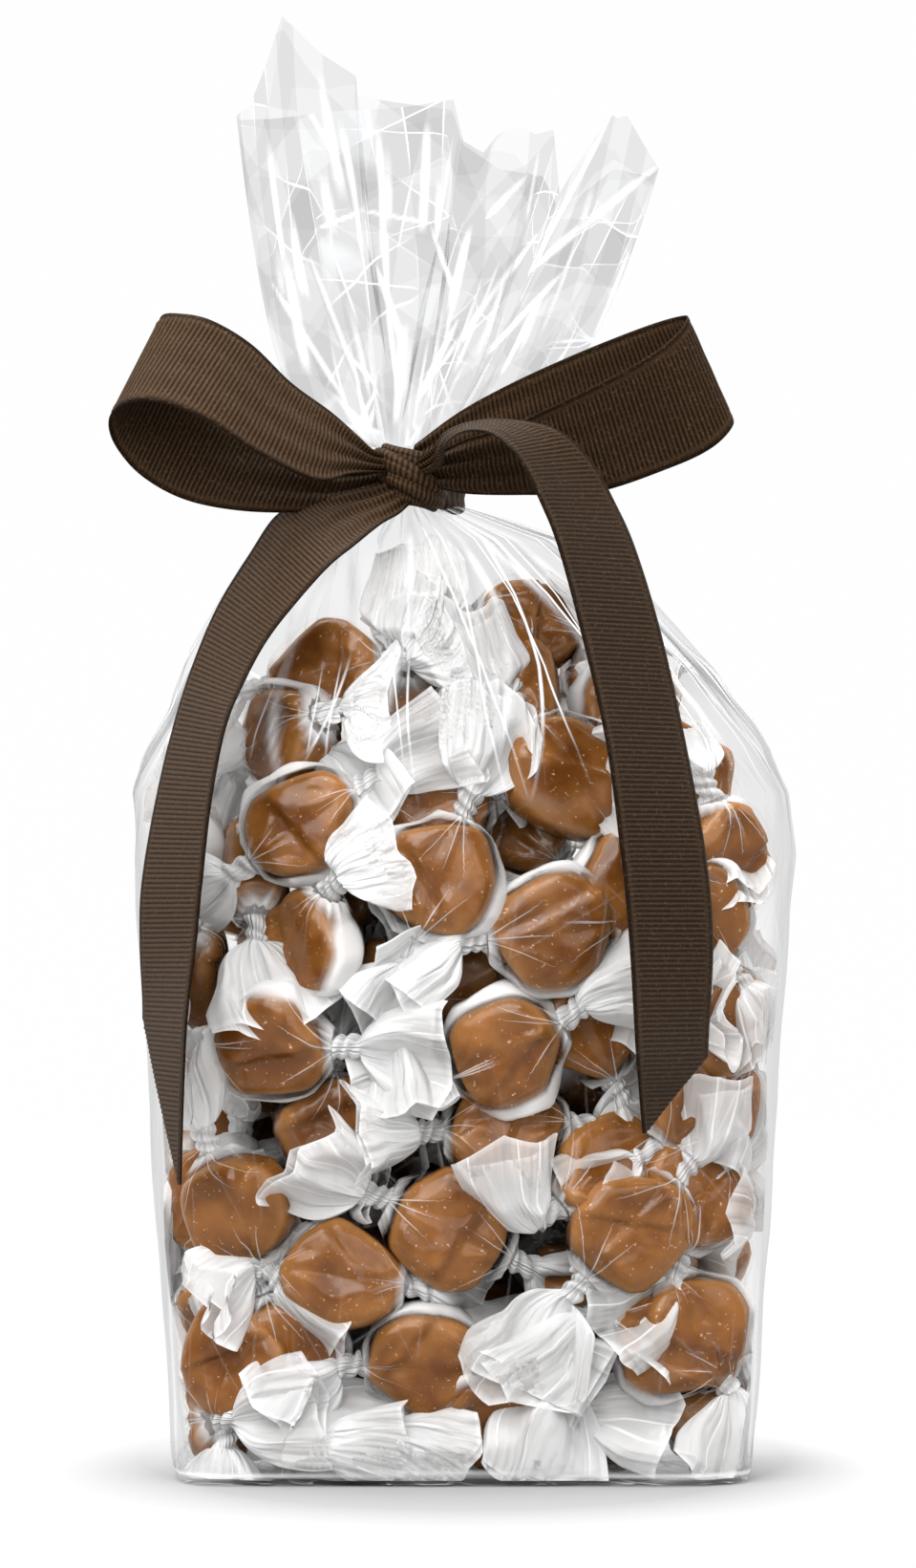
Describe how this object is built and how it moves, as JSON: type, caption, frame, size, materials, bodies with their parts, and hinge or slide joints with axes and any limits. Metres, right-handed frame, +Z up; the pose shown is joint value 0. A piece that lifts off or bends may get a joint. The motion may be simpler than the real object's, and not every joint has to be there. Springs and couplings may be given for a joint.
{
  "type": "bag of wrapped caramel candy",
  "caption": "Clear gusseted film gift bag full of twist-wrapped caramels, gathered at the neck and tied with a ribbon bow that has two loops and two long tails.",
  "frame": {"origin": "middle of the flat base, where the bag rests on the table", "axes": "+Z up along the bag to the flared crown, the bow on the -Y side, +X to the right as seen from the bow"},
  "size_m": [0.152, 0.1156, 0.3254],
  "materials": {
    "bag_fill": "the sealed bag out to its film: waxed-paper twists and brown caramel seen through it",
    "film": "thin clear film, crisp and glossy",
    "caramel": "soft milk caramel, waxy, slightly translucent",
    "waxed_paper": "white waxed tissue, translucent where it lies on the caramel",
    "grosgrain": "dark brown ribbed ribbon with stitched-looking edges"
  },
  "bodies": {
    "root": {"candy_bag": "bag_fill", "ribbon_bow": "grosgrain"}
  },
  "joints": []
}
